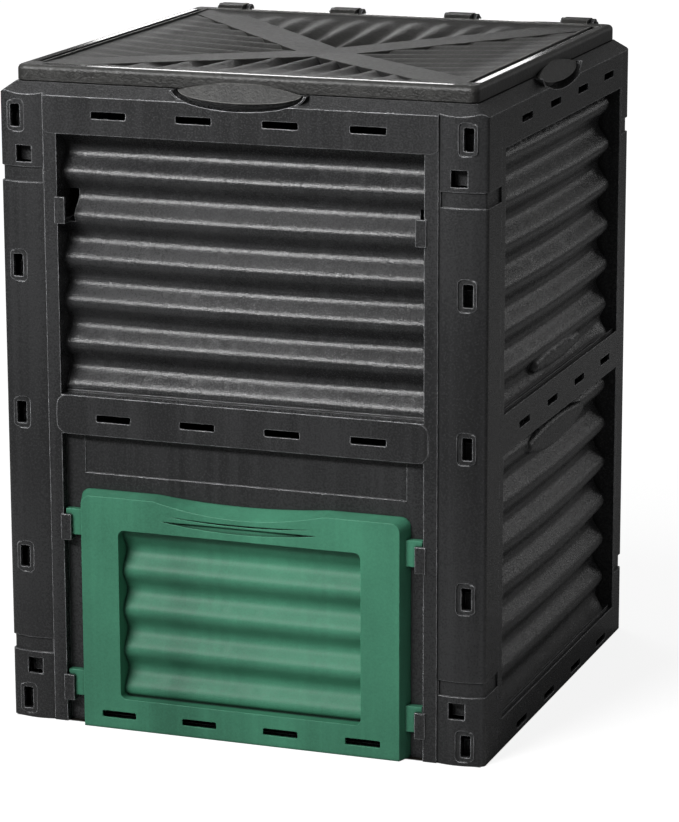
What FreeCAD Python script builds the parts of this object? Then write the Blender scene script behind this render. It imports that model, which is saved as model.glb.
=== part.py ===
import FreeCAD, Part
import Sketcher
import math
import os
import re
import sys

from FreeCAD import Placement, Rotation, Vector

# Garden compost bin of four interlocking wall panels, a hinged lid and a lift-out hatch door.
# The origin is on the ground at the centre of the bin; +Z is up and the hatch looks along -Y.

DOC = FreeCAD.newDocument("CompostBin")

# Driving sizes in millimetres
SIZES = [
    # Overall body
    ("overall_width", 610, "width and depth of the footprint over the columns"),
    ("wall_top", 775, "height of the upright walls"),
    ("skin", 3, "moulded wall thickness"),
    ("samples", 8, "points along each wave of a corrugation"),
    ("seam", 0.3, "gap where two panels meet"),
    # Sloping rim on top of the walls
    ("rim_rise", 13, "height of the sloping rim"),
    ("rim_inset", 16, "how far the rim leans inward"),
    ("rim_ledge", 12, "width of the flat ledge under the lid"),
    ("rim_corner", 10, "corner radius of the rim"),
    # Corner columns
    ("column_width", 58, "width of a column on the front and back faces"),
    ("column_skin", 4, "thickness of the columns"),
    ("column_crease", 3, "step between a column and the stile beside it"),
    ("column_crest", 19, "distance of a column's crest from its crease"),
    ("corner_setback", 8, "how far a column's corner stands back from the face"),
    ("corner_radius", 6, "round of a column's outer corner"),
    ("front_return", 58, "depth of the front columns along the side walls"),
    ("rear_return", 40, "depth of the rear columns along the side walls"),
    # Windows for the hooks, pads round them, square catch holes and bands
    ("window_width", 12.5, "width of a hook window in a column"),
    ("window_height", 27.3, "height of a hook window"),
    ("window_inset", 22, "distance of the windows' centre line from the side"),
    ("window_first", 24.3, "height of the lowest window's centre"),
    ("window_pitch", 181.2, "distance between hook windows"),
    ("window_count", 5, "hook windows in each column"),
    ("pad_margin", 4.2, "width of the flat pad round a window"),
    ("pad_depth", 1.8, "depth of the pad's face below the panel face"),
    ("pad_corner", 4.5, "corner radius of the pad"),
    ("catch_size", 20, "size of a square catch hole"),
    ("catch_inset", 33, "distance of the catch holes' centre from the side"),
    ("catch_low", 67.2, "height of the lower catch hole's centre"),
    ("catch_high", 703.7, "height of the upper catch hole's centre"),
    ("catch_depth", 16, "how far a catch lies behind the face"),
    ("band_height", 18.5, "height of the sunk bands round the columns"),
    ("band_depth", 2.5, "depth of the sunk bands"),
    ("band_low", 94, "height of the lower band's centre"),
    ("band_high", 678.7, "height of the upper band's centre"),
    # Rails and corrugated fields
    ("stile_edge", 230, "half width of the recesses in the front and back walls"),
    ("stile_step", 0.8, "how far the stiles lie behind the rails"),
    ("rail_end", 6, "how far a rail's rounded end reaches over a stile"),
    ("rail_round", 14, "corner radius of a rail's end"),
    ("top_rail", 45, "height of the top rail"),
    ("middle_low", 365, "lower edge of the middle rail"),
    ("middle_high", 413, "upper edge of the middle rail"),
    ("bottom_rail", 39, "height of the bottom rail"),
    ("field_depth", 38, "depth of a corrugated field's frame"),
    ("wave_pitch", 52, "distance between two waves"),
    ("wave_height", 16, "depth of a wave from crest to valley"),
    ("crest_depth", 18, "how far the crests lie behind the face at the field's edge"),
    ("field_bow", 9, "how far the middle of a field bulges outward"),
    ("front_crest", 420, "height of the lowest crest of the upper front field"),
    ("side_crest_depth", 9.5, "how far the side walls' crests lie behind the face at the ends"),
    ("side_bow", 7.5, "how far the middle of a side field bulges outward"),
    ("dive_length", 24, "length over which a side field dives at its rear end"),
    ("dive_depth", 22, "how far it dives there"),
    ("dive_share", 0.98, "how much of a quarter round the dive follows"),
    ("sill_rise", 3, "height of the lip along a field's lower edge"),
    ("sill_depth", 17, "how far the lips of the front and back walls lie behind the face"),
    ("side_sill_depth", 5, "how far the side walls' lips lie behind the face"),
    ("side_crest", 452, "height of the lowest crest of the upper side fields"),
    ("low_crest", 85, "height of the lowest crest of the lower fields"),
    # Air vents
    ("vent_length", 44.5, "length of a vent"),
    ("vent_height", 8.6, "height of a vent"),
    ("vent_corner", 2, "corner radius of a vent"),
    ("vent_count", 4, "vents in each rail"),
    ("vent_pitch", 108, "distance between the vents of the front and back walls"),
    ("vent_top_drop", 21, "distance of the top vents below the wall's top"),
    ("vent_middle_rise", 21.5, "height of the middle vents above the rail's edge"),
    ("vent_bottom_rise", 10, "height of the bottom vents above the ground"),
    ("side_vent_first", -147, "place of the foremost vent of a side wall"),
    ("side_vent_pitch", 117.3, "distance between the vents of the side walls"),
    # Side walls
    ("side_stile", 15, "width of a side wall's front stile"),
    ("side_rear_stile", 6, "width of a side wall's rear stile"),
    ("lap", 14, "length of the lip behind the column"),
    ("plaque_half", 148, "half length of a side wall's bare plaques before their ends are rounded"),
    ("plaque_round", 8, "round of a plaque's ends"),
    ("plaque_high", 438, "height of the upper plaque's ends"),
    ("plaque_low", 345, "height of the lower plaque's ends"),
    ("plaque_rise", 12.5, "how far a plaque's upper edge rises at its middle"),
    ("plaque_high_drop", 12.5, "how far the upper plaque's lower edge drops at its middle"),
    ("plaque_low_drop", 24, "the same drop of the lower plaque"),
    ("plaque_depth", 4, "how far the plaques' faces lie behind the wall's face"),
    # Hooks of the side walls and the troughs in the columns that hold them
    ("trough_width", 20, "width of a trough"),
    ("trough_reach", 20, "how far a trough reaches back from the column's face"),
    ("trough_height", 14, "height of a trough's upstand"),
    ("trough_skin", 2.5, "thickness of a trough and of a hook"),
    ("hook_width", 14, "width of a hook"),
    # Hatch in the front wall
    ("hatch_recess", 13.5, "depth of the recess round the hatch"),
    ("hatch_half", 185, "half width of the hatch opening"),
    ("hatch_sill", 11, "height of the hatch opening's lower edge"),
    ("hatch_head", 289, "height of the hatch opening's upper edge"),
    ("hatch_flange", 18, "depth of the flange round the hatch opening"),
    ("plate_half", 205, "half width of the bare name plate"),
    ("plate_low", 315, "lower edge of the name plate"),
    ("plate_high", 361, "upper edge of the name plate"),
    ("plate_depth", 1.5, "depth of the name plate"),
    ("bracket_width", 13, "width of a door bracket"),
    ("bracket_lap", 3, "how far a bracket's front plate lies over the stile"),
    ("bracket_proud", 1.2, "how far the plate stands out of the wall's face"),
    ("bracket_height", 32, "height of a door bracket"),
    ("bracket_floor", 6, "thickness of a bracket's floor"),
    ("bracket_low", 28, "height of the lower brackets"),
    ("bracket_high", 232, "height of the upper door brackets"),
    ("bracket_rest", 622, "height of the brackets that hold the lifted door"),
    # Hatch door
    ("door_half", 203.5, "half width of the door's face"),
    ("door_top", 292, "height of the door's face"),
    ("door_proud", 8, "how far the door stands out of the front wall"),
    ("door_draft", 7.5, "how much wider the door is at its back edge"),
    ("door_corner", 12, "radius of the door's upper corners"),
    ("door_gap", 0.4, "gap between the door and the recess behind it"),
    ("pane_half", 155, "half width of the door's corrugated pane"),
    ("pane_low", 39, "lower edge of the pane"),
    ("pane_high", 252, "upper edge of the pane"),
    ("pane_corner", 8, "corner radius of the pane"),
    ("pane_crest_depth", 13, "how far the pane's crests lie behind the door's face"),
    ("pane_wave", 13, "depth of the pane's waves"),
    ("pane_pitch", 50, "distance between the pane's waves"),
    ("pane_crest", 48, "height of the pane's lowest crest"),
    ("pane_bow", 2, "how far the middle of the pane bulges"),
    ("door_vent_rise", 18, "height of the door's vents"),
    ("door_vent_pitch", 105, "distance between the door's vents"),
    ("grip_half", 109, "half length of the dip in the door's top edge"),
    ("grip_dip", 14, "depth of the dip at the door's face"),
    ("grip_back_dip", 6, "depth of the dip at the door's back"),
    ("groove_half", 100, "half length of the finger groove"),
    ("groove_drop", 24, "distance of the groove below the door's top edge"),
    ("groove_sag", 7.4, "height of the groove at its middle"),
    ("slit_half", 94, "half length of the thin slit over the groove"),
    ("slit_drop", 17, "distance of the slit's ends below the door's top edge"),
    ("slit_sag", 4.7, "how far the slit curves down"),
    ("slit_height", 1.7, "height of the slit at its middle"),
    ("groove_depth", 4, "depth of the groove and of the slit"),
    ("tab_reach", 17, "how far the door's tabs reach outward"),
    ("tab_height", 32, "height of a tab"),
    ("tab_rise", 0.4, "gap between a tab and its bracket's floor"),
    ("tab_gap", 0.5, "gap between a tab and its bracket's front plate"),
    # Lid
    ("lid_half", 288, "half width of the lid"),
    ("lid_corner", 10, "corner radius of the lid"),
    ("lid_top", 808, "height of the lid's border"),
    ("lid_seat", 0.2, "gap between the lid's skirt and the rim"),
    ("skirt_step", 1.3, "height of the step along the skirt's lower edge"),
    ("skirt_step_depth", 1.5, "depth of that step"),
    ("lid_dish", 12, "how much lower the lid's centre is than its border"),
    ("bead_width", 14, "width of the bead round the lid"),
    ("bead_round", 6, "round of the bead's outer edge"),
    ("groove_width", 7, "width of the gutter inside the bead"),
    ("gutter_depth", 9, "depth of the gutter inside the bead"),
    ("gutter_end", 256, "half length of the gutters"),
    ("brace_width", 55, "width of the lid's crossed braces"),
    ("flute_pitch", 39.5, "distance between the lid's flutes"),
    ("flute_depth", 15, "depth of the flutes at the lid's centre"),
    ("flute_drop", 1.2, "distance of the flutes' crests below the braces"),
    # Finger recesses and lips
    ("lip_half", 77, "half length of a lid lip"),
    ("lip_rise", 9.5, "rise of a lip's upper edge above the skirt"),
    ("lip_drop", 12, "drop of a lip's lower edge below the skirt"),
    ("lip_reach", 15, "how far a lip reaches outward"),
    ("scoop_half", 82, "half length of a finger recess in the rim"),
    ("scoop_drop", 8, "drop of a recess below the wall's top at its middle"),
    # Lid hinge
    ("hinge_height", 802, "height of the hinge axis"),
    ("hinge_setback", 6, "distance of the hinge axis inside the back face"),
    ("knuckle_radius", 11, "radius of a hinge knuckle"),
    ("knuckle_width", 34, "width of a knuckle"),
    ("knuckle_pitch", 158, "distance between knuckles"),
    ("knuckle_count", 4, "knuckles on the lid"),
    ("ear_width", 5, "width of a hinge ear"),
    ("ear_gap", 0.4, "side gap between a knuckle and an ear"),
    ("stop_top", 801.5, "height of the plate that stops the opened lid"),
    ("pin_radius", 4, "radius of a hinge pin"),
    ("pin_play", 0.08, "radial play of a pin in its knuckle"),
    ("pin_seat", 0.05, "gap under a pin's head"),
    ("pin_head_radius", 6.5, "radius of a pin's head"),
    ("pin_head", 2.5, "thickness of a pin's head"),
]

SHEET = DOC.addObject("Spreadsheet::Sheet", "Sizes")
for row, (alias, value, note) in enumerate(SIZES, start=1):
    SHEET.set(f"A{row}", note)
    SHEET.set(f"B{row}", str(value))
    SHEET.setAlias(f"B{row}", alias)
DOC.recompute()
ALIASES = {alias for alias, value, note in SIZES}
TINY = 1e-6
OVERCUT = 1
RIGHT = Vector(1, 0, 0)
FORWARD = Vector(0, 1, 0)
UP = Vector(0, 0, 1)

# Points across a corrugated field and across a short or narrow one
STATIONS = 9
FEW_STATIONS = 7


class Values:
    """The sheet's numbers, for the shapes that are worked out in Python."""

    def __getattr__(self, alias):
        return float(getattr(SHEET, alias))


V = Values()


def bound(text):
    """An expression on the sheet's aliases, written without the sheet's name."""
    return re.sub(r"[a-z_]+", lambda m: f"Sizes.{m[0]}" if m[0] in ALIASES else m[0], text)


# Derived places, as expressions on the sheet
HALF = "overall_width / 2"
FACE = f"-({HALF})"
COLUMN = f"({HALF} - column_width)"
FRONT_SEAM = f"({FACE} + front_return)"
REAR_SEAM = f"({HALF} - rear_return)"
FIELD_TOP = "(wall_top - top_rail)"
RECESS = f"({FACE} + hatch_recess)"

# The same places as numbers
half = V.overall_width / 2
face = -half
column_edge = half - V.column_width
field_top = V.wall_top - V.top_rail
recess = face + V.hatch_recess
door_face = face - V.door_proud
rim_top = V.wall_top + V.rim_rise
rim_half = half - V.rim_inset
skirt_low = rim_top + V.lid_seat
hinge_y = half - V.hinge_setback
lid_centre = V.lid_top - V.lid_dish
scoop_back = V.rim_ledge / 3 - rim_half
knuckle_places = [
    (i - (V.knuckle_count - 1) / 2) * V.knuckle_pitch for i in range(int(V.knuckle_count))
]
window_heights = [V.window_first + i * V.window_pitch for i in range(int(V.window_count))]


# Helpers that add objects to the document
def box(name, x, y, z):
    """A Part::Box between pairs of expressions."""
    thing = DOC.addObject("Part::Box", name)
    for side, axis, (low, high) in (("Length", "x", x), ("Width", "y", y), ("Height", "z", z)):
        thing.setExpression(side, bound(f"({high}) - ({low})"))
        thing.setExpression(f"Placement.Base.{axis}", bound(f"{low}"))
    return thing


def made(name, shape):
    """A Part::Feature that holds a worked-out shape."""
    thing = DOC.addObject("Part::Feature", name)
    thing.Shape = shape
    return thing


def fuse(name, *things):
    thing = DOC.addObject("Part::MultiFuse", name)
    thing.Shapes = list(things)
    thing.Refine = True
    return thing


def cut(name, base, *tools):
    tool = tools[0] if len(tools) == 1 else DOC.addObject("Part::Compound", name + "_tools")
    if len(tools) > 1:
        tool.Links = list(tools)
    thing = DOC.addObject("Part::Cut", name)
    thing.Base = base
    thing.Tool = tool
    thing.Refine = True
    return thing


# Helpers that make shapes
def block(x, y, z):
    return Part.makeBox(x[1] - x[0], y[1] - y[0], z[1] - z[0], Vector(x[0], y[0], z[0]))


def prism(points, way):
    """A straight extrusion of a closed outline of points."""
    return Part.Face(Part.makePolygon(list(points) + [points[0]])).extrude(way)


def rounded_block(x, y, z, radius, axis):
    """A block whose four edges along an axis are rounded."""
    solid = block(x, y, z)
    edges = [e for e in solid.Edges if abs(abs(e.tangentAt(e.FirstParameter).dot(axis)) - 1) < TINY]
    return solid.makeFillet(radius, edges)


def lens(half_length, z_ends, z_top, z_bottom, y0, y1, blunt=False):
    """A lens along Y between two arcs with common ends; a blunt one has half an ellipse below."""
    left, right = Vector(-half_length, y0, z_ends), Vector(half_length, y0, z_ends)
    edges = []
    for z_middle in (z_top, z_bottom):
        middle = Vector(0, y0, z_middle)
        if abs(z_middle - z_ends) < TINY:
            edges.append(Part.makeLine(left, right))
        elif blunt and z_middle < z_ends:
            ellipse = Part.Ellipse(right, middle, Vector(0, y0, z_ends))
            edges.append(Part.ArcOfEllipse(ellipse, 0, math.pi).toShape())
        else:
            edges.append(Part.Arc(left, middle, right).toShape())
    return Part.Face(Part.Wire(Part.__sortEdges__(edges))).extrude(Vector(0, y1 - y0, 0))


def rounded_lens(radius, half_length, *heights_and_depths):
    """A lens whose two pointed ends are rounded."""
    solid = lens(half_length, *heights_and_depths)
    tips = [e for e in solid.Edges if all(abs(abs(v.X) - half_length) < TINY for v in e.Vertexes)]
    return solid.makeFillet(radius, tips)


def turned(shape, degrees):
    """A copy of a shape turned about the bin's upright axis."""
    copy = shape.copy()
    copy.rotate(Vector(0, 0, 0), UP, degrees)
    return copy


def mirrored(shape):
    """A copy of a shape mirrored from right to left."""
    return shape.mirror(Vector(0, 0, 0), RIGHT)


def wave(z, pitch, height, first):
    """Depth of a corrugation below its crests at height z."""
    return height / 2 * (1 - math.cos(2 * math.pi * (z - first) / pitch))


def swell(x, z, across, up):
    """Share of the bulge at a point of a field: one in the middle, nought at the edges."""
    share_x = (2 * x - across[0] - across[1]) / (across[1] - across[0])
    share_z = (2 * z - up[0] - up[1]) / (up[1] - up[0])
    return max(0, 1 - share_x**2) * max(0, 1 - share_z**2)


def eased(share):
    """A share from nought to one that starts and ends gently."""
    return share**2 * (3 - 2 * share)


def wave_sheet(stations, up, pitch, depth_at, behind=0, thick=V.skin):
    """A sheet whose outer face lies depth_at(x, z) behind the wall's face."""
    rows = int(math.ceil((up[1] - up[0]) / pitch * V.samples)) + 1
    heights = [up[0] + (up[1] - up[0]) * j / (rows - 1) for j in range(rows)]
    grid = [[Vector(x, face + behind + depth_at(x, z), z) for z in heights] for x in stations]
    surface = Part.BSplineSurface()
    surface.interpolate(grid)
    return surface.toShape().extrude(Vector(0, thick, 0))


def spread(low, high, count):
    return [low + (high - low) * i / (count - 1) for i in range(count)]


def column_core(inset, z, seam_y):
    """An upright core with the plan of the front right column, inset from its outer skin."""
    inside = column_edge - V.field_depth
    back = face + 2 * V.front_return
    low = Vector(inside, face + V.column_crease, z[0])
    crease = Vector(column_edge, face + V.column_crease, z[0])
    crest = Vector(column_edge + V.column_crest, face, z[0])
    corner = Vector(half, face + V.corner_setback, z[0])
    edges = [
        Part.makeLine(low, crease),
        Part.Arc(crease, crest, corner).toShape(),
        Part.makeLine(corner, Vector(half, back, z[0])),
        Part.makeLine(Vector(half, back, z[0]), Vector(inside, back, z[0])),
        Part.makeLine(Vector(inside, back, z[0]), low),
    ]
    solid = Part.Face(Part.Wire(edges)).extrude(Vector(0, 0, z[1] - z[0]))
    upright = [
        e for e in solid.Edges
        if all(abs(v.X - half) + abs(v.Y - corner.y) < TINY for v in e.Vertexes)
    ]
    solid = solid.makeFillet(V.corner_radius, upright)
    if inset:
        plan = min(solid.Faces, key=lambda f: f.CenterOfMass.z)
        solid = plan.makeOffset2D(-inset).extrude(Vector(0, 0, z[1] - z[0]))
    room = 3 * V.skin
    return solid.common(block((column_edge - 2 * V.skin, half + room), (face - room, seam_y), z))


def column_skin(outer, inner, z, seam_y):
    """The upright skin of the front right column between two insets."""
    return column_core(outer, z, seam_y).cut(column_core(inner, z, seam_y))


def joined(solids):
    """One shape of several that may touch each other."""
    return solids[0].multiFuse(solids[1:]) if len(solids) > 1 else solids[0]


def both(solids):
    """Solids of the right side with their mirror images."""
    return Part.makeCompound(solids + [mirrored(solid) for solid in solids])


def made_each(name, solids):
    return [made(f"{name}_{i + 1}", solid) for i, solid in enumerate(solids)]


# The rim that all four walls share, before it is divided among them
def frustum(low_half, high_half, z_low, z_high, radius):
    """A square block with rounded upright edges that narrows upward."""

    def slab(way):
        points = [(-low_half, z_low), (low_half, z_low), (high_half, z_high), (-high_half, z_high)]
        if way.x:
            outline = [Vector(-half, y, z) for y, z in points]
        else:
            outline = [Vector(x, -half, z) for x, z in points]
        return prism(outline, way * 2 * half)

    solid = slab(Vector(1, 0, 0)).common(slab(Vector(0, 1, 0)))
    slanted = [e for e in solid.Edges if abs(e.Vertexes[0].Z - e.Vertexes[-1].Z) > V.skin]
    return solid.makeFillet(radius, slanted)


def corner_waste(z):
    """What the curved columns leave free of the square plan, on all four corners."""
    reach = face + V.corner_setback + 2 * V.corner_radius
    square = block((column_edge, half + OVERCUT), (face - OVERCUT, reach), z)
    waste = square.cut(column_core(0, z, reach + OVERCUT))
    right = [waste, waste.mirror(Vector(0, 0, 0), Vector(0, 1, 0))]
    return Part.makeCompound(right + [mirrored(w) for w in right])


def rim_ring():
    """The sloping rim with its flat ledge under the lid."""
    inner = rim_half - V.rim_ledge
    z = (V.wall_top, rim_top)
    outer = frustum(half, rim_half, *z, V.rim_corner)
    low = V.wall_top - V.rim_rise * V.skin / V.rim_inset
    under = frustum(half, rim_half, low - V.skin, rim_top - 2 * V.skin, V.rim_corner)
    through = block((-inner, inner), (-inner, inner), (V.wall_top - 3 * V.skin, rim_top + OVERCUT))
    ledge_half = rim_half - 1
    ledge = block((-ledge_half, ledge_half), (-ledge_half, ledge_half), (rim_top - V.skin, rim_top))
    corner = column_skin(0, V.column_skin, z, face + 2 * V.corner_setback + V.corner_radius)
    corners = [corner, corner.mirror(Vector(0, 0, 0), Vector(0, 1, 0))]
    corners += [mirrored(c) for c in corners]
    shell = outer.cut(under).cut(through)
    return joined([shell, ledge.cut(through)] + [c.common(outer) for c in corners]).cut(corner_waste(z))


RIM = rim_ring()


def scoop(y0, y1, grow):
    """The half-moon finger recess of the front wall, grown by a wall thickness."""
    ends = rim_top + OVERCUT
    low = V.wall_top - V.scoop_drop - grow
    return lens(V.scoop_half + grow, ends, ends, low, y0, y1, blunt=True)


def scoop_liner():
    """The wall behind and below a finger recess."""
    shell = scoop(face + V.skin, scoop_back + V.skin, V.skin).cut(scoop(face - OVERCUT, scoop_back, 0))
    over = block((-half, half), (face - OVERCUT, face + V.front_return), (rim_top, rim_top + V.skin))
    return shell.cut(over)


def windows_and_pads(seam_y):
    """Pad pockets, pads and holes (windows, catches and bands) of the front right column."""
    x = half - V.window_inset
    wide = V.window_width / 2
    pad = wide + V.pad_margin
    pad_face = face + V.pad_depth
    back = face + 2 * V.column_skin
    front = face - 2 * OVERCUT
    rim = V.pad_corner / 3
    pockets, pads, holes = [], [], []

    def pad_block(reach, depths, tall, radius):
        return rounded_block((x - reach, x + reach), depths, (zc - tall, zc + tall), radius, FORWARD)

    for zc in window_heights:
        slot = V.window_height / 2
        tall = slot + V.pad_margin
        pockets.append(pad_block(pad + rim, (front, pad_face), tall + rim, V.pad_corner + rim))
        pads.append(pad_block(pad, (pad_face, back), tall, V.pad_corner))
        holes.append(pad_block(wide, (front, back + OVERCUT), slot, wide / 3))
    reach = V.catch_size / 2
    catch_x = (half - V.catch_inset - reach, half - V.catch_inset + reach)
    for zc in (V.catch_low, V.catch_high):
        holes.append(block(catch_x, (front, back + OVERCUT), (zc - reach, zc + reach)))
    around_x = (column_edge + 2 * OVERCUT, half + 2 * OVERCUT)
    for zc in (V.band_low, V.band_high):
        z = (zc - V.band_height / 2, zc + V.band_height / 2)
        band = column_skin(-OVERCUT, V.band_depth, z, seam_y + OVERCUT)
        holes.append(band.common(block(around_x, (front, seam_y + OVERCUT), z)))
    return pockets, pads, holes


def trough_places():
    """Centre line, front face and floor heights of the troughs in the front right column."""
    x = half - V.window_inset - 1
    front = face + V.column_skin + V.skin
    return x, front, [zc - V.window_height / 2 - V.trough_skin for zc in window_heights]


def troughs():
    """The troughs that hold the side wall's hooks, in the front right column."""
    x, front, floors = trough_places()
    inside = x - V.trough_width / 2
    outside = (inside - V.trough_skin, x + V.trough_width / 2)
    start = face + V.column_skin - OVERCUT
    back = front + V.trough_reach
    parts = []
    for z in floors:
        under = z - V.trough_skin
        tall = (under, z + V.trough_height)
        floor = block(outside, (start, back), (under, z))
        upstand = block(outside, (back - V.trough_skin, back), tall)
        cheek = block((outside[0], inside), (start, back), tall)
        room = column_core(V.skin, (under - OVERCUT, z + 2 * V.trough_height), back + OVERCUT)
        parts.append(joined([floor, upstand, cheek]).common(room))
    return parts


def vents(name, centre, pitch, rises, front):
    """Vent cutters through a skin with its face at front: one row for each height."""
    cutters = []
    count = int(V.vent_count)
    reach, tall = V.vent_length / 2, V.vent_height / 2
    depths = (front - 2 * OVERCUT, front + V.skin + 2 * OVERCUT)
    for z in rises:
        for i in range(count):
            x = centre + (i - (count - 1) / 2) * pitch
            spans = ((x - reach, x + reach), depths, (z - tall, z + tall))
            cutters.append(rounded_block(*spans, V.vent_corner, FORWARD))
    return made(name, Part.makeCompound(cutters))


def stile_steps(rails):
    """What the stiles lie behind the rails, on both sides of the front wall."""
    inside = V.stile_edge + V.rail_end - V.rail_round - OVERCUT
    depths = (face - OVERCUT, face + V.stile_step)
    strip = block((inside, column_edge + OVERCUT), depths, (-OVERCUT, V.wall_top))
    ends = []
    for low, high, reach in rails:
        x, y = (0, V.stile_edge + reach), (face - 2 * OVERCUT, face + V.skin)
        ends.append(rounded_block(x, y, (low, high), V.rail_round, FORWARD))
    return both(strip.cut(Part.makeCompound(ends)).Solids)


def sill(x, depth, low):
    """The lip along the lower edge of a corrugated field, bedded in the field's frame."""
    bed = V.skin / 4
    depths = (face + depth, face + depth + 4 * V.skin)
    return block((x[0] - bed, x[1] + bed), depths, (low - V.skin + bed, low + V.sill_rise))


def end_wall(name, low_fields, seam_depth):
    """The front or back wall with its two columns, in the front wall's place."""
    seam_y = face + seam_depth
    deep = (f"{FACE} + skin", f"{FACE} + field_depth")
    through = (f"{FACE} - 1", f"{FACE} + field_depth + 1")
    grown = ("-stile_edge - skin", "stile_edge + skin")
    width = ("-stile_edge", "stile_edge")
    parts = [
        box(name + "_plate", (f"-{COLUMN}", COLUMN), (FACE, f"{FACE} + skin"), ("0", "wall_top")),
        box(name + "_upper_frame", grown, deep, ("middle_high - skin", f"{FIELD_TOP} + skin")),
    ]
    cutters = [box(name + "_upper_hole", width, through, ("middle_high", FIELD_TOP))]
    if low_fields:
        parts.append(box(name + "_lower_frame", grown, deep, ("bottom_rail - skin", "middle_low + skin")))
        cutters.append(box(name + "_lower_hole", width, through, ("bottom_rail", "middle_low")))
    else:
        back = (f"{RECESS} + skin", f"{RECESS} + hatch_flange")
        hatch = ("-hatch_half", "hatch_half")
        collar = ("-hatch_half - skin", "hatch_half + skin")
        plate = ("-plate_half", "plate_half")
        parts.append(box(name + "_hatch_frame", grown, (deep[0], back[0]), ("0", "middle_low + skin")))
        parts.append(box(name + "_hatch_collar", collar, back, ("hatch_sill - skin", "hatch_head + skin")))
        cutters.append(box(name + "_hatch_recess", width, (through[0], RECESS), ("-1", "middle_low")))
        hatch_y = (through[0], f"{back[1]} + 1")
        plate_y = (f"{RECESS} - 1", f"{RECESS} + plate_depth")
        cutters.append(box(name + "_hatch_hole", hatch, hatch_y, ("hatch_sill", "hatch_head")))
        cutters.append(box(name + "_name_plate", plate, plate_y, ("plate_low", "plate_high")))
    skin = column_skin(0, V.column_skin, (0, V.wall_top), seam_y)
    columns = [made(name + "_right_column", skin), made(name + "_left_column", mirrored(skin))]
    shell = fuse(name + "_shell", *parts, *columns)

    pockets, pads, holes = windows_and_pads(seam_y)
    rises = [V.wall_top - V.vent_top_drop, V.middle_low + V.vent_middle_rise]
    if low_fields:
        rises.append(V.vent_bottom_rise)
    top_reach = column_edge - V.stile_edge + V.column_crease
    rails = [(V.middle_low, V.middle_high, V.rail_end), (field_top, 2 * V.wall_top, top_reach)]
    if low_fields:
        rails.append((-V.bottom_rail, V.bottom_rail, V.rail_end))
    cutters.append(vents(name + "_vents", 0, V.vent_pitch, rises, face))
    cutters.append(made(name + "_pad_pockets", both(pockets)))
    cutters.append(made(name + "_finger_recess", scoop(face - OVERCUT, face + V.skin + OVERCUT, 0)))
    additions = [cut(name + "_opened", shell, *cutters)]

    additions += made_each(name + "_pad", both(pads).Solids)
    additions += made_each(name + "_trough", both(troughs()).Solids)
    spans = [(V.middle_high, field_top, V.front_crest)]
    if low_fields:
        spans.append((V.bottom_rail, V.middle_low, V.low_crest))
    for low, high, first in spans:
        across = (-V.stile_edge - V.skin / 2, V.stile_edge + V.skin / 2)
        up = (low - V.skin / 2, high + V.skin / 2)

        def depth_at(x, z):
            ripple = wave(z, V.wave_pitch, V.wave_height, first)
            return V.crest_depth + ripple - V.field_bow * swell(x, z, across, up)

        sheet = wave_sheet(spread(*across, STATIONS), up, V.wave_pitch, depth_at)
        additions.append(made(f"{name}_field_{first:.0f}", sheet))
        additions.append(made(f"{name}_sill_{first:.0f}", sill(across, V.sill_depth, low)))
    wide = half + OVERCUT
    territory = block((-wide, wide), (face - OVERCUT, seam_y), (0, rim_top + OVERCUT))
    additions.append(made(name + "_rim", RIM.common(territory).cut(scoop(face - OVERCUT, scoop_back, 0))))
    additions.append(made(name + "_finger_liner", scoop_liner()))
    whole = fuse(name + "_whole", *additions)
    return whole, both(holes).Solids + stile_steps(rails).Solids


def brackets(name, low, floor_back):
    """A pair of upward-open brackets on the front wall that hold the door's tabs."""
    parts = []
    inner = "(stile_edge + bracket_lap - bracket_width)"
    plate_end = "(stile_edge + bracket_lap)"
    floor_end = "(stile_edge + skin / 2)"
    height = (low, f"{low} + bracket_height")
    floor = (low, f"{low} + bracket_floor")
    for side, plate_x, floor_x in (
        ("right", (inner, plate_end), (inner, floor_end)),
        ("left", (f"-{plate_end}", f"-{inner}"), (f"-{floor_end}", f"-{inner}")),
    ):
        plate_y = (f"{FACE} - bracket_proud", f"{FACE} + skin")
        parts.append(box(f"{name}_{side}_plate", plate_x, plate_y, height))
        parts.append(box(f"{name}_{side}_floor", floor_x, (f"{FACE} + skin", floor_back), floor))
    return parts


def front_wall():
    whole, holes = end_wall("front", False, V.front_return)
    behind = block(
        (V.stile_edge - V.bracket_width - 2, V.stile_edge),
        (face + V.skin, face + V.field_depth + 1),
        (V.bracket_rest, V.bracket_rest + V.bracket_height + V.bracket_floor),
    )
    tools = made_each("front_hole", holes) + made_each("front_bracket_window", both([behind]).Solids)
    open_wall = cut("front_open_wall", whole, *tools)
    parts = brackets("low_bracket", "bracket_low", f"{RECESS} + 1")
    parts += brackets("high_bracket", "bracket_high", f"{RECESS} + 1")
    parts += brackets("rest_bracket", "bracket_rest", f"{FACE} + crest_depth + wave_height")
    return named(fuse("front_wall_solid", open_wall, *parts), "front_wall")


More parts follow.
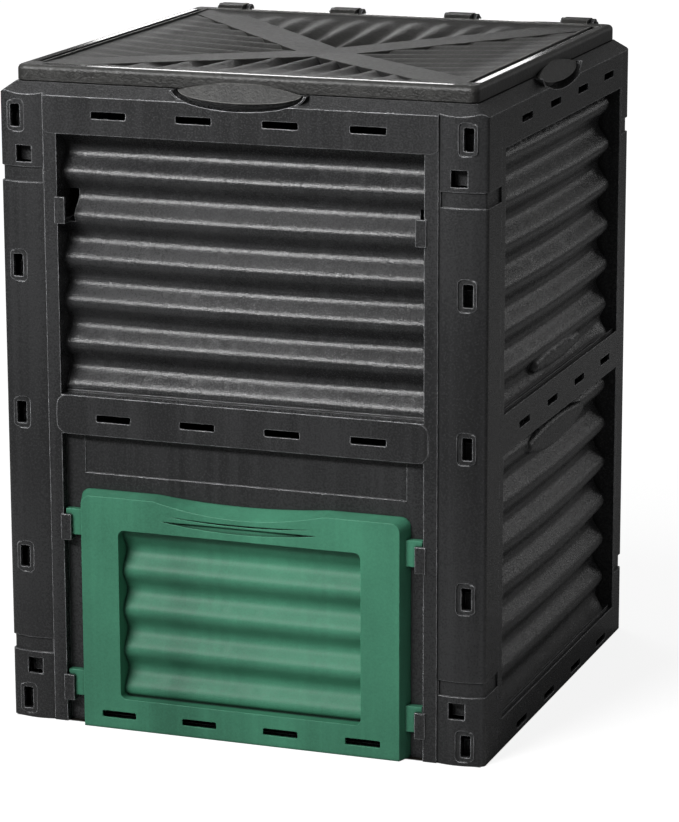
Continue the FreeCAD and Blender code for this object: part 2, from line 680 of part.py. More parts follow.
def hinge_ears():
    """Ears with their stop plates and the bores through them, in the back wall's own place."""
    parts, bores = [], []
    foot = V.wall_top - 2 * V.skin
    root = half - V.skin / 2
    out = half + V.door_proud
    stop = hinge_y + V.knuckle_radius + V.ear_gap
    inner = hinge_y - V.knuckle_radius
    disc_radius = V.knuckle_radius - OVERCUT
    ear_y = (hinge_y - disc_radius, stop + OVERCUT)
    span = V.knuckle_width + 2 * V.ear_gap + 2 * V.ear_width
    profile = [
        (inner, foot - OVERCUT),
        (root, foot - OVERCUT),
        (root, V.wall_top - OVERCUT),
        (inner, V.wall_top + 2 * V.skin),
    ]
    for x in knuckle_places:
        start = x - span / 2
        before = start - OVERCUT
        lean = prism([Vector(before, y, z) for y, z in profile], RIGHT * (span + 2 * OVERCUT))
        solids = []
        for x0 in (start, start + span - V.ear_width):
            centre = Vector(x0, hinge_y, V.hinge_height)
            solids.append(Part.makeCylinder(disc_radius, V.ear_width, centre, RIGHT))
            solids.append(block((x0, x0 + V.ear_width), ear_y, (foot, V.hinge_height - V.ear_gap)))
        solids.append(block((start, start + span), (stop, out), (foot, V.stop_top)))
        solids.append(block((start, start + span), (root, out), (foot, foot + V.skin)))
        parts.append(joined(solids).cut(lean))
        bore_start = Vector(before, hinge_y, V.hinge_height)
        bores.append(Part.makeCylinder(V.pin_radius, span + 2 * OVERCUT, bore_start, RIGHT))
    return parts, bores


def back_wall():
    whole, holes = end_wall("back", True, V.rear_return)
    open_wall = cut("back_open_wall", whole, *made_each("back_hole", holes))
    ears, bores = hinge_ears()
    turned_ears = made_each("back_hinge_ears", [turned(ear, 180) for ear in ears])
    turned_bores = made_each("back_hinge_bore", [turned(bore, 180) for bore in bores])
    solid = cut("back_wall_bored", fuse("back_wall_eared", open_wall, *turned_ears), *turned_bores)
    DOC.recompute()
    return named(made("back_wall_turned", turned(solid.Shape, 180)), "back_wall")


def side_span():
    """Where a side wall begins behind the front column and ends at the rear one."""
    return face + V.front_return + V.seam, half - V.rear_return - V.seam


def side_wall():
    """The right wall, in the front wall's place with X running towards the back."""
    y0, y1 = side_span()
    middle = (y0 + y1) / 2
    field = (y0 + V.side_stile, y1 - V.side_rear_stile)
    across = (field[0] - V.skin / 2, field[1] + V.skin / 2)
    deep = (face + V.skin / 2, face + V.field_depth)
    dive_start = field[1] - V.dive_length
    stations = spread(across[0], dive_start, STATIONS) + spread(dive_start, across[1], FEW_STATIONS)[1:]
    shift = Vector(middle, 0, 0)
    frames, openings, fields, sills, plaques = [], [], [], [], []
    for low, high, first, label, drop in (
        (V.middle_high, field_top, V.side_crest, V.plaque_high, V.plaque_high_drop),
        (V.bottom_rail, V.middle_low, V.low_crest, V.plaque_low, V.plaque_low_drop),
    ):
        frames.append(block((field[0] - V.skin, field[1] + V.skin), deep, (low - V.skin, high + V.skin)))
        openings.append(block(field, (face - OVERCUT, deep[1] + OVERCUT), (low, high)))
        up = (low - V.skin / 2, high + V.skin / 2)

        def depth_at(x, z):
            ripple = wave(z, V.wave_pitch, V.wave_height, first)
            share = max(0, (x - dive_start) / (across[1] - dive_start))
            dive = (V.dive_depth - ripple) * (1 - math.sqrt(1 - V.dive_share * share**2))
            depth = V.side_crest_depth + ripple + dive - V.side_bow * swell(x, z, across, up)
            fall = min(1, max(0, (first - z) / (first - low)))
            near_sill = eased(fall) * (1 - share)
            return depth + near_sill * (V.side_sill_depth + V.skin - depth)

        fields.append(wave_sheet(stations, up, V.wave_pitch, depth_at))
        sills.append(sill(across, V.side_sill_depth, low))
        heights = (label, label + V.plaque_rise, label - drop)
        plaque_y = (face + V.plaque_depth, face + V.field_depth)
        plaque = rounded_lens(V.plaque_round, V.plaque_half, *heights, *plaque_y).translated(shift)
        behind = wave_sheet(stations, up, V.wave_pitch, depth_at, V.skin / 2, 2 * V.field_depth)
        plaques.append(plaque.cut(behind))
    plate = made("side_plate", block((y0, y1), (face, face + V.skin), (0, V.wall_top)))
    count = int(V.vent_count)
    vent_middle = V.side_vent_first + (count - 1) / 2 * V.side_vent_pitch
    rises = [V.wall_top - V.vent_top_drop, V.middle_low + V.vent_middle_rise, V.vent_bottom_rise]
    tools = made_each("side_opening", openings)
    tools.append(vents("side_vents", vent_middle, V.side_vent_pitch, rises, face))
    recess_cutter = scoop(face - OVERCUT, face + V.skin + OVERCUT, 0)
    tools.append(made("side_finger_recess", recess_cutter.translated(shift)))
    opened = cut("side_opened", fuse("side_shell", plate, *made_each("side_frame", frames)), *tools)

    territory = block((y0, y1), (face - OVERCUT, face + 2 * V.field_depth), (0, rim_top + OVERCUT))
    rim = RIM.common(territory).cut(scoop(face - OVERCUT, scoop_back, 0).translated(shift))
    extras = made_each("side_field", fields) + made_each("side_sill", sills)
    extras += made_each("side_plaque", plaques)
    extras += [made("side_rim", rim), made("side_liner", scoop_liner().translated(shift))]
    extras += [made("side_end_" + end, shape) for end, shape in side_ends(y0, y1)]
    solid = fuse("side_wall_solid", opened, *extras)
    DOC.recompute()
    return solid.Shape


def side_ends(y0, y1):
    """Lips, flanges, hooks and catches at both ends of a side wall."""
    trough_x, trough_front, floors = trough_places()
    centre = face + half - trough_x
    across = (centre - V.hook_width / 2, centre + V.hook_width / 2)
    trough_back = trough_front + V.trough_reach
    catch = V.catch_size / 2 - V.seam
    catch_y = (face + V.catch_inset - catch, face + V.catch_inset + catch)
    carrier = max(across[1], catch_y[1])
    results = []
    for end, edge, way in (("front", y0, -1), ("rear", y1, 1)):
        flange_x = sorted((edge, edge - way * V.skin))
        behind = face + V.column_skin + V.seam
        lip_x = sorted((edge - way * V.skin, edge + way * V.lap))
        parts = [
            block(flange_x, (face, carrier), (0, V.wall_top - 2)),
            block(lip_x, (behind, behind + V.skin), (0, V.wall_top - 2 * V.skin)),
        ]
        lip_inside = -way * trough_back + way * (V.trough_skin + V.seam)
        lip_outside = lip_inside + way * V.trough_skin
        for z in floors:
            arm = z + V.trough_height + V.seam
            top = arm + 2 * V.trough_skin
            parts.append(block(sorted((edge - way * OVERCUT, lip_outside)), across, (arm, top)))
            parts.append(block(sorted((lip_inside, lip_outside)), across, (z + V.seam, top)))
        head_x = way * (half - V.catch_depth)
        for zc in (V.catch_low, V.catch_high):
            z = (zc - catch, zc + catch)
            arm_y = (catch_y[1] - V.skin, catch_y[1])
            parts.append(block(sorted((edge - way * OVERCUT, head_x)), arm_y, z))
            parts.append(block(sorted((head_x, head_x - way * 2 * V.skin)), catch_y, z))
        results.append((end, joined(parts)))
    return results


def named(solid, label):
    solid.Label = label
    return solid


def walls():
    first = front_wall()
    last = back_wall()
    shape = turned(side_wall(), 90)
    right = named(made("right_wall_turned", shape), "right_wall")
    left = named(made("left_wall_mirrored", mirrored(shape)), "left_wall")
    return [first, last, left, right]


# Lid
def lid_brace(reach):
    """One arm of the crossed braces, along +X from the centre, hollow below."""
    thick = V.flute_depth + V.skin
    corner_thick = V.gutter_depth

    def arm(half_width, end, drop, centre_z, end_z):
        points = [
            Vector(0, -half_width, lid_centre - drop),
            Vector(end, -half_width, lid_centre + V.lid_dish * end / reach - drop),
            Vector(end, -half_width, end_z),
            Vector(0, -half_width, centre_z),
        ]
        return prism(points, Vector(0, 2 * half_width, 0))

    outer = arm(V.brace_width / 2, reach, 0, lid_centre - thick, V.lid_top - corner_thick)
    hollow_end = reach - V.brace_width
    inside = V.brace_width / 2 - V.skin
    inner = arm(inside, hollow_end, V.skin, lid_centre - 2 * thick, V.lid_top - 2 * thick)
    return outer.cut(inner)


def lid_field():
    """The front triangle of the lid: flutes that fade out towards the edge."""
    outer_y = -(V.lid_half - V.bead_width - V.groove_width + OVERCUT)
    inner_y = -V.flute_pitch / 4
    reach = -outer_y
    slope = V.lid_dish / V.lid_half
    columns = int(round(2 * reach / V.flute_pitch * V.samples)) + 1
    grid = []
    for y in spread(outer_y, inner_y, FEW_STATIONS):
        share = (y - outer_y) / (inner_y - outer_y)
        line = []
        for x in spread(-reach, reach, columns):
            level = lid_centre + slope * abs(y) - V.flute_drop
            line.append(Vector(x, y, level - share * wave(x, V.flute_pitch, V.flute_depth, 0)))
        grid.append(line)
    surface = Part.BSplineSurface()
    surface.interpolate(grid)
    sheet = surface.toShape().extrude(Vector(0, 0, -V.skin))
    tip = V.brace_width / 2 * math.sqrt(2) - V.skin
    low = V.lid_top - 3 * V.lid_dish
    corners = [Vector(0, -tip, low), Vector(-reach, -tip - reach, low), Vector(reach, -tip - reach, low)]
    return sheet.common(prism(corners, Vector(0, 0, 4 * V.lid_dish)))


def lid_shell():
    """The lid's skirt and border with its bead and gutters."""
    inside = V.lid_half - V.skin
    gutter_out = V.lid_half - V.bead_width
    gutter_in = gutter_out - V.groove_width
    clear = gutter_in - V.skin
    floor = V.lid_top - V.gutter_depth
    roof = floor - V.skin
    above = V.lid_top + OVERCUT
    below = skirt_low - OVERCUT
    span, sides = (-V.lid_half, V.lid_half), (-inside, inside)
    along = (-V.gutter_end, V.gutter_end)
    outer = rounded_block(span, span, (skirt_low, V.lid_top), V.lid_corner, UP)
    top_edges = [e for e in outer.Edges if all(abs(v.Z - V.lid_top) < TINY for v in e.Vertexes)]
    outer = outer.makeFillet(V.bead_round, top_edges)
    hollow = rounded_block(sides, sides, (below, roof), V.lid_corner - V.skin, UP)
    step_half = V.lid_half - V.skirt_step_depth
    step_z = (below, skirt_low + V.skirt_step)
    inner = (-step_half, step_half)
    kept = rounded_block(inner, inner, step_z, V.lid_corner - V.skirt_step_depth, UP)
    wide = (-V.lid_half - OVERCUT, V.lid_half + OVERCUT)
    step = block(wide, wide, step_z).cut(kept)
    trench = block(along, (-gutter_out, -gutter_in), (floor, above))
    bead_y = (-inside, -gutter_out - V.skin)
    bead_room = block(along, bead_y, (roof - OVERCUT, V.lid_top - V.bead_round - OVERCUT))
    middle = block((-clear, clear), (-clear, clear), (below, above))
    four = [turned(tool, 90 * i) for tool in (trench, bead_room) for i in range(4)]
    return outer.cut(Part.makeCompound([hollow, middle, step])).cut(Part.makeCompound(four))


def lid():
    reach = math.hypot(V.lid_half, V.lid_half)
    rim = V.lid_half - V.bead_width - V.groove_width
    square = block((-rim, rim), (-rim, rim), (skirt_low - 3 * V.lid_dish, V.lid_top))
    arms = [turned(lid_brace(reach), 45 + 90 * i) for i in range(4)]
    cross = joined(arms).common(square)
    fields = made_each("lid_field", [turned(lid_field(), 90 * i) for i in range(4)])
    side_shift = sum(side_span()) / 2
    places = [(0, 0), (90, side_shift), (270, side_shift)]

    def placed(shape):
        return [turned(shape, angle).translated(Vector(0, shift, 0)) for angle, shift in places]

    knuckles, bores = lid_knuckles()
    pieces = [made("lid_shell", lid_shell()), made("lid_braces", cross)]
    whole = fuse("lid_whole", *pieces, *fields, *made_each("lid_knuckle", knuckles))
    tools = made_each("lid_arch", placed(lid_arch())) + made_each("lid_bore", bores)
    trimmed = cut("lid_trimmed", whole, *tools)
    return named(fuse("lid_solid", trimmed, *made_each("lid_lip", placed(lid_lip()))), "lid")


def lid_arch():
    """The arched notch in the lid's front skirt over its lip."""
    ends = skirt_low - V.lid_seat / 2
    depths = (-V.lid_half - OVERCUT, -V.lid_half + V.skin + OVERCUT)
    return lens(V.lip_half, ends, skirt_low + V.lip_rise, ends, *depths)


def lid_lip():
    """The leaning finger lip under the front edge of the lid."""
    y_in, y_out = -V.lid_half + V.skin, -V.lid_half - V.lip_reach
    top, low = skirt_low + V.lip_rise, skirt_low - V.lip_drop
    profile = [(y_in, top), (y_in - V.skin, top), (y_out, low), (y_out + V.skin, low)]
    lean = prism([Vector(-V.lip_half, y, z) for y, z in profile], RIGHT * 2 * V.lip_half)
    outline = lens(V.lip_half, skirt_low, top, low, y_out - OVERCUT, y_in + OVERCUT, blunt=True)
    return lean.common(outline)


def lid_knuckles():
    """Knuckles on the lid's rear edge with webs to the border, and their bores."""
    top = V.hinge_height + V.knuckle_radius
    inner = V.lid_half - V.bead_width
    profile = [
        (inner + OVERCUT, V.lid_top - V.gutter_depth),
        (inner + OVERCUT, V.lid_top - V.skin / 6),
        (inner + 2 * V.skin, top - OVERCUT),
        (hinge_y - V.skin, top),
        (hinge_y, top),
        (hinge_y, V.hinge_height - V.knuckle_radius + V.skin),
        (V.lid_half - OVERCUT, skirt_low + V.skin),
    ]
    solids, bores = [], []
    for x in knuckle_places:
        x0 = x - V.knuckle_width / 2
        centre = Vector(x0, hinge_y, V.hinge_height)
        barrel = Part.makeCylinder(V.knuckle_radius, V.knuckle_width, centre, RIGHT)
        web = prism([Vector(x0, y, z) for y, z in profile], RIGHT * V.knuckle_width)
        solids.append(barrel.fuse(web))
        bore_length = V.knuckle_width + 2 * OVERCUT
        bore_radius = V.pin_radius + V.pin_play
        bores.append(Part.makeCylinder(bore_radius, bore_length, centre - RIGHT * OVERCUT, RIGHT))
    return solids, bores


# Hatch door
def door_form(inset, y_back, y_front, low):
    """The door's drafted block, moved inward by inset all round."""
    wires = []
    depth = recess - V.door_gap - door_face
    for y in (y_back, y_front):
        share = (y - door_face) / depth
        reach = V.door_half + V.door_draft * share - inset
        top = V.door_top + V.door_draft / 2 * share - inset
        radius = max(V.door_corner - inset, 1)
        bend = radius * (1 - math.sqrt(1 / 2))
        low_left, low_right = Vector(-reach, y, low), Vector(reach, y, low)
        left, right = Vector(-reach, y, top - radius), Vector(reach, y, top - radius)
        top_left, top_right = Vector(radius - reach, y, top), Vector(reach - radius, y, top)
        edges = [
            Part.makeLine(low_left, left),
            Part.Arc(left, Vector(bend - reach, y, top - bend), top_left).toShape(),
            Part.makeLine(top_left, top_right),
            Part.Arc(top_right, Vector(reach - bend, y, top - bend), right).toShape(),
            Part.makeLine(right, low_right),
            Part.makeLine(low_right, low_left),
        ]
        wires.append(Part.Wire(edges))
    return Part.makeLoft(wires, True, True)


def door_dip(back):
    """The cutter of the dip in the door's top edge, deeper at the face than at the back."""
    wires = []
    high = Vector(0, 0, V.grip_dip)
    back_top = V.door_top + V.door_draft / 2
    for y, top, drop in ((door_face, V.door_top, V.grip_dip), (back, back_top, V.grip_back_dip)):
        left, right = Vector(-V.grip_half, y, top), Vector(V.grip_half, y, top)
        edges = [
            Part.makeLine(left + high, left),
            Part.Arc(left, Vector(0, y, top - drop), right).toShape(),
            Part.makeLine(right, right + high),
            Part.makeLine(right + high, left + high),
        ]
        wires.append(Part.Wire(edges))
    return Part.makeLoft(wires, True, True)


def door_tabs():
    """Tabs on both sides of the door that stand in its brackets."""
    tabs = []
    inner = "door_half + door_draft / 2"
    outer = "door_half + door_draft + tab_reach"
    tab_y = (f"{FACE} + skin + tab_gap", f"{RECESS} - door_gap")
    for level in ("bracket_low", "bracket_high"):
        low = f"{level} + bracket_floor + tab_rise"
        tab_z = (low, f"{low} + tab_height")
        tabs.append(box(f"door_tab_{level}_right", (inner, outer), tab_y, tab_z))
        tabs.append(box(f"door_tab_{level}_left", (f"-({outer})", f"-({inner})"), tab_y, tab_z))
    return tabs


def door():
    back = recess - V.door_gap
    front = door_face - OVERCUT
    outer = door_form(0, back, door_face, 0)
    hollow = door_form(V.skin, back + OVERCUT, door_face + V.skin, V.skin)
    bar_x = (-V.grip_half - 2 * V.skin, V.grip_half + 2 * V.skin)
    bar = block(bar_x, (door_face + OVERCUT, back), (V.pane_high, V.door_top + V.door_draft))
    pane_back = door_face + V.pane_crest_depth + V.pane_wave + V.skin + OVERCUT
    pane_x, pane_z = (-V.pane_half, V.pane_half), (V.pane_low, V.pane_high)
    pane_hole = rounded_block(pane_x, (front, pane_back + OVERCUT), pane_z, V.pane_corner, FORWARD)

    def grown(span, margin):
        return span[0] - margin, span[1] + margin

    collar_x, collar_z = grown(pane_x, V.skin), grown(pane_z, V.skin)
    collar_y = (door_face + OVERCUT, pane_back)
    collar = rounded_block(collar_x, collar_y, collar_z, V.pane_corner + V.skin, FORWARD)
    groove_y = (front, door_face + V.groove_depth)
    groove_z = V.door_top - V.groove_drop
    groove = lens(V.groove_half, groove_z, groove_z, groove_z - V.groove_sag, *groove_y)
    slit_z = V.door_top - V.slit_drop
    slit_low = slit_z - V.slit_sag
    slit = lens(V.slit_half, slit_z, slit_low + V.slit_height, slit_low, *groove_y)
    shell = cut("door_shell", made("door_outer", outer), made("door_hollow", hollow))
    frame_parts = [made("door_top_bar", bar.common(outer)), made("door_collar", collar)]
    tools = [
        made("door_pane_hole", pane_hole),
        vents("door_vents", 0, V.door_vent_pitch, [V.door_vent_rise], door_face),
        made("door_dip", door_dip(back)),
        made("door_groove", groove),
        made("door_slit", slit),
    ]
    opened = cut("door_opened", fuse("door_framed", shell, *frame_parts), *tools)
    sheet_x, sheet_z = grown(pane_x, V.skin / 2), grown(pane_z, V.skin / 2)

    def depth_at(x, z):
        ripple = wave(z, V.pane_pitch, V.pane_wave, V.pane_crest)
        return V.pane_crest_depth - V.door_proud + ripple - V.pane_bow * swell(x, z, sheet_x, sheet_z)

    sheet = wave_sheet(spread(*sheet_x, FEW_STATIONS), sheet_z, V.pane_pitch, depth_at)
    return named(fuse("hatch_door_solid", opened, made("door_pane", sheet), *door_tabs()), "hatch_door")


# Hinge pins
def plane_of(body, role):
    """The origin plane of a body with a given role."""
    return next(f for f in body.Origin.OriginFeatures if f.Role == role)


def circle_sketch(body, name, radius_expression, offset_expression):
    """A sketch on the body's YZ plane with one circle on the body's axis."""
    sketch = body.newObject("Sketcher::SketchObject", name)
    sketch.AttachmentSupport = [(plane_of(body, "YZ_Plane"), "")]
    sketch.MapMode = "FlatFace"
    sketch.setExpression("AttachmentOffset.Base.z", bound(offset_expression))
    sketch.addGeometry(Part.Circle(Vector(0, 0, 0), UP, 1), False)
    sketch.addConstraint(Sketcher.Constraint("Coincident", 0, 3, -1, 1))
    sketch.addConstraint(Sketcher.Constraint("Radius", 0, 1.0))
    sketch.renameConstraint(1, "radius")
    sketch.setExpression("Constraints.radius", bound(radius_expression))
    return sketch


def hinge_pin(number, x):
    """A headed pin through an ear, a knuckle and the other ear."""
    body = DOC.addObject("PartDesign::Body", f"hinge_pin_body_{number}")
    span = "knuckle_width + 2 * ear_gap + 2 * ear_width"
    shank = circle_sketch(body, f"pin_shank_{number}", "pin_radius", f"-({span}) / 2 - 1")
    shank_pad = body.newObject("PartDesign::Pad", f"pin_shank_pad_{number}")
    shank_pad.Profile = shank
    shank_pad.setExpression("Length", bound(f"{span} + 1 + pin_seat"))
    head = circle_sketch(body, f"pin_head_{number}", "pin_head_radius", f"({span}) / 2 + pin_seat")
    head_pad = body.newObject("PartDesign::Pad", f"pin_head_pad_{number}")
    head_pad.Profile = head
    head_pad.setExpression("Length", bound("pin_head"))
    body.Tip = head_pad
    outward = 0 if x > 0 else 180
    body.Placement = Placement(Vector(x, hinge_y, V.hinge_height), Rotation(UP, outward))
    return named(body, f"hinge_pin_{number}")


def main():
    pieces = walls()
    pieces.append(lid())
    pieces.append(door())
    pieces += [hinge_pin(i + 1, x) for i, x in enumerate(knuckle_places)]
    DOC.recompute()
    faults = [o.Name for o in DOC.Objects if "Invalid" in o.State or "Error" in o.State]
    for piece in pieces:
        shape = piece.Shape
        if shape.isNull() or not shape.isValid() or len(shape.Solids) != 1:
            faults.append(f"{piece.Label}: {len(shape.Solids)} solids, valid {shape.isValid()}")
    if faults:
        sys.exit("Not built: " + ", ".join(faults))
    os.makedirs("parts", exist_ok=True)
    for piece in pieces:
        piece.Shape.exportStep(f"parts/{piece.Label}.step")
        box_of = piece.Shape.BoundBox
        heights = f"z {box_of.ZMin:.1f} to {box_of.ZMax:.1f}"
        print(f"{piece.Label}: {piece.Shape.Volume / 1000:.0f} cm3, {heights}")


main()
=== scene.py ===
import math

import bpy
from mathutils import Matrix, Vector


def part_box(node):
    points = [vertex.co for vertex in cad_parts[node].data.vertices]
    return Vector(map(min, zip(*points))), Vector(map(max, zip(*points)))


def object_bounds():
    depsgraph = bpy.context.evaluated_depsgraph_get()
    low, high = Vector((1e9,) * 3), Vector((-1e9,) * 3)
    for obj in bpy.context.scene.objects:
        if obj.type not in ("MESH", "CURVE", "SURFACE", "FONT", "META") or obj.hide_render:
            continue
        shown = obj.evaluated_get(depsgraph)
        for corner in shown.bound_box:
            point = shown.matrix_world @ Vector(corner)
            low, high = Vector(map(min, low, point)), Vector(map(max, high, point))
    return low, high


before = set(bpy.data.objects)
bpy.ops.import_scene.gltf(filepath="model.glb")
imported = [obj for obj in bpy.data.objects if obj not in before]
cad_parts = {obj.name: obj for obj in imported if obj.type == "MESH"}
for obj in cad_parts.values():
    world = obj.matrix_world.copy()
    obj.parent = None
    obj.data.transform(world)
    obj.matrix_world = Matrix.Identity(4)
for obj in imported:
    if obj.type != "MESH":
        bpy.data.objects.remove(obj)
cad_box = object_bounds()

# Colours of the plastics, in linear light
BLACK = (0.028, 0.0283, 0.0292)
LID_BLACK = (0.03, 0.0296, 0.028)
GREEN = (0.058, 0.225, 0.138)

# Noise fields: scale, detail and, for patterns drawn out upright, a lower scale along the height
BROAD = (3.5, 3)
CLOUDY = (14, 4, 0.1)
STREAKY = (80, 2, 0.02)
EDGE_PATCHES = (70, 4)
GRAIN_DETAIL = 2
FINE_GRAIN_FACTOR = 2

# Tone: how much each field counts, and the shades between which it moves the colour
BROAD_SHARE, CLOUDY_SHARE = 0.5, 0.3
STREAK_SHARE, FINE_SHARE, COARSE_SHARE = 0.1, 0.1, 0.4
STREAK_ENDS = (0.5, 0.66)
TONE_REACH = 0.13
DARK_SHADE, LIGHT_SHADE = 0.7, 1.35

# Painted highlights along edges: the cosines of the bend between which they appear, and the noise that
# weakens them in patches
EDGE_ENDS = (0.995, 0.85)
PATCH_ENDS = (0.35, 0.65)
LEAST_EDGE_LIGHT = 0.35

# Painted shade in crevices and gaps and in the lid's valleys: its width in metres, the open shares between
# which it fades, and how dark it makes the colour
CREVICE_SHADE_REACH = (0.005, (0.4, 0.88))
LID_VALLEY_SHADE_REACH = (0.03, (0.6, 0.95))
PAINTED_CREVICE_SHADE, PAINTED_VALLEY_SHADE = 0.12, 0.4

# Samples that find the edges, seams and valleys
MASK_SAMPLES = 4

# Gloss and relief, with its depth in metres
UNEVEN_ENDS = (0.35, 0.65)
BROAD_GLOSS, COARSE_GLOSS = 0.4, 0.6
EDGE_POLISH, SEAM_DULLNESS = 0.1, 0.4
FINE_RELIEF, COARSE_RELIEF = 0.45, 0.55
RELIEF_STRENGTH, RELIEF_DEPTH = 0.5, 0.0009

# The smooth bead round the lid, in metres, with finger lips that reach out past it
LIP_REACH = 0.015
BEAD_WIDTH = 0.0142
BEAD_ROUND = 0.0055
BEAD_HALF_LENGTH = 0.256
BEAD_DEPTH = 0.0115
BEAD_ROUGHNESS = 0.15


# Materials: moulded plastic with grain, uneven colour and gloss, painted highlights along edges and
# painted shade in crevices
class Graph:
    """A short way to add and link the nodes of one material."""

    def __init__(self, name):
        self.material = bpy.data.materials.new(name)
        self.material.use_nodes = True
        self.tree = self.material.node_tree
        self.shader = self.tree.nodes["Principled BSDF"]

    def add(self, kind, **settings):
        node = self.tree.nodes.new(kind)
        for key, value in settings.items():
            setattr(node, key, value)
        return node

    def link(self, source, target):
        self.tree.links.new(source, target)

    def fill(self, socket, value):
        """Link another socket to a socket, or set it to a number or colour."""
        if isinstance(value, bpy.types.NodeSocket):
            self.link(value, socket)
        else:
            socket.default_value = value

    def math(self, operation, *values):
        node = self.add("ShaderNodeMath", operation=operation)
        for socket, value in zip(node.inputs, values):
            self.fill(socket, value)
        return node.outputs[0]

    def total(self, *terms):
        """The sum of sockets, each times its weight."""
        result, *others = [self.math("MULTIPLY", socket, weight) for socket, weight in terms]
        for term in others:
            result = self.math("ADD", result, term)
        return result

    def coordinates(self, height_scale=1):
        """A point's place on the object; a low height scale draws patterns out upright."""
        source = self.add("ShaderNodeTexCoord")
        mapping = self.add("ShaderNodeMapping")
        mapping.inputs["Scale"].default_value = (1, 1, height_scale)
        self.link(source.outputs["Object"], mapping.inputs["Vector"])
        return mapping.outputs["Vector"]

    def from_middle(self):
        """A point's distances from the middle, sideways and from front to back, and its height."""
        parts = self.add("ShaderNodeSeparateXYZ")
        self.link(self.coordinates(), parts.inputs["Vector"])
        across, along = [self.math("ABSOLUTE", parts.outputs[axis]) for axis in "XY"]
        return across, along, parts.outputs["Z"]

    def noise(self, scale, detail, height_scale=1):
        node = self.add("ShaderNodeTexNoise")
        node.inputs["Scale"].default_value = scale
        node.inputs["Detail"].default_value = detail
        self.link(self.coordinates(height_scale), node.inputs["Vector"])
        return node.outputs["Fac"]

    def remap(self, value, ends, new_ends=(0, 1)):
        node = self.add("ShaderNodeMapRange")
        self.link(value, node.inputs["Value"])
        names = ("From Min", "From Max", "To Min", "To Max")
        for name, number in zip(names, (*ends, *new_ends)):
            node.inputs[name].default_value = number
        return node.outputs["Result"]

    def blend(self, factor, first, second):
        """A colour between two colours; each is a socket or a tuple."""
        node = self.add("ShaderNodeMix", data_type="RGBA")
        self.link(factor, node.inputs["Factor"])
        colours = [socket for socket in node.inputs if socket.type == "RGBA"]
        for socket, value in zip(colours, (first, second)):
            self.fill(socket, value)
        return next(socket for socket in node.outputs if socket.type == "RGBA")


def shade(colour, factor):
    return (*[min(1.0, part * factor) for part in colour], 1.0)


def edge_highlight_mask(g, bevel):
    """Up to one on edges, where a highlight is painted, less in patches, and nought on flat surfaces."""
    geometry = g.add("ShaderNodeNewGeometry")
    dot = g.add("ShaderNodeVectorMath", operation="DOT_PRODUCT")
    g.link(bevel.outputs["Normal"], dot.inputs[0])
    g.link(geometry.outputs["True Normal"], dot.inputs[1])
    patches = g.remap(g.noise(*EDGE_PATCHES), PATCH_ENDS, (LEAST_EDGE_LIGHT, 1))
    return g.math("MULTIPLY", g.remap(dot.outputs["Value"], EDGE_ENDS), patches)


def open_share(g, distance, ends):
    """Nought in corners and gaps as wide as the distance, one on open surfaces."""
    nearby = g.add("ShaderNodeAmbientOcclusion", samples=MASK_SAMPLES)
    nearby.inputs["Distance"].default_value = distance
    return g.remap(nearby.outputs["AO"], ends)


def plastic(name, colour, rough, grain, grain_scale=420, edge_round=0.0016, edge_highlight_tone=3.0,
            specular=0.5, valleys=None, gloss_patch=None):
    """Moulded polypropylene: rough holds its least and greatest roughness, grain its strength."""
    g = Graph(name)
    g.shader.inputs["Specular IOR Level"].default_value = specular
    broad = g.noise(*BROAD)
    cloudy = g.noise(*CLOUDY)
    streaks = g.remap(g.noise(*STREAKY), STREAK_ENDS)
    fine = g.noise(FINE_GRAIN_FACTOR * grain_scale, GRAIN_DETAIL)
    coarse = g.noise(grain_scale, GRAIN_DETAIL)
    bevel = g.add("ShaderNodeBevel", samples=MASK_SAMPLES)
    bevel.inputs["Radius"].default_value = edge_round
    openness = open_share(g, *CREVICE_SHADE_REACH)
    edge = g.math("MULTIPLY", edge_highlight_mask(g, bevel), openness)

    tone = g.total((broad, BROAD_SHARE), (cloudy, CLOUDY_SHARE), (streaks, STREAK_SHARE * grain),
                   (fine, FINE_SHARE * grain), (coarse, COARSE_SHARE * grain))
    middle = (BROAD_SHARE + CLOUDY_SHARE + (FINE_SHARE + COARSE_SHARE) * grain) / 2
    tone = g.remap(tone, (middle - TONE_REACH, middle + TONE_REACH))
    paint = g.blend(tone, shade(colour, DARK_SHADE), shade(colour, LIGHT_SHADE))
    # Painted shade in the valleys between the lid's flutes
    if valleys:
        paint = g.blend(open_share(g, *valleys), shade(colour, PAINTED_VALLEY_SHADE), paint)
    # Painted highlight: edges lightened towards the edge highlight tone
    paint = g.blend(edge, paint, shade(colour, edge_highlight_tone))
    # Painted shade: crevices and gaps darkened
    paint = g.blend(openness, shade(colour, PAINTED_CREVICE_SHADE), paint)
    g.link(paint, g.shader.inputs["Base Color"])

    uneven = g.total((broad, BROAD_GLOSS), (coarse, COARSE_GLOSS))
    closed = g.math("SUBTRACT", 1, openness)
    roughness = g.remap(uneven, UNEVEN_ENDS, rough)
    roughness = g.total((roughness, 1), (edge, -EDGE_POLISH), (closed, SEAM_DULLNESS))
    strength = RELIEF_STRENGTH * grain
    if gloss_patch:
        patch = gloss_patch(g)
        rest = g.math("SUBTRACT", 1, patch)
        roughness = g.total((roughness, rest), (patch, BEAD_ROUGHNESS))
        strength = g.math("MULTIPLY", rest, strength)
    g.link(roughness, g.shader.inputs["Roughness"])

    bump = g.add("ShaderNodeBump")
    g.fill(bump.inputs["Strength"], strength)
    bump.inputs["Distance"].default_value = RELIEF_DEPTH
    g.link(g.total((fine, FINE_RELIEF), (coarse, COARSE_RELIEF)), bump.inputs["Height"])
    g.link(bevel.outputs["Normal"], bump.inputs["Normal"])
    g.link(bump.outputs["Normal"], g.shader.inputs["Normal"])
    return g.material


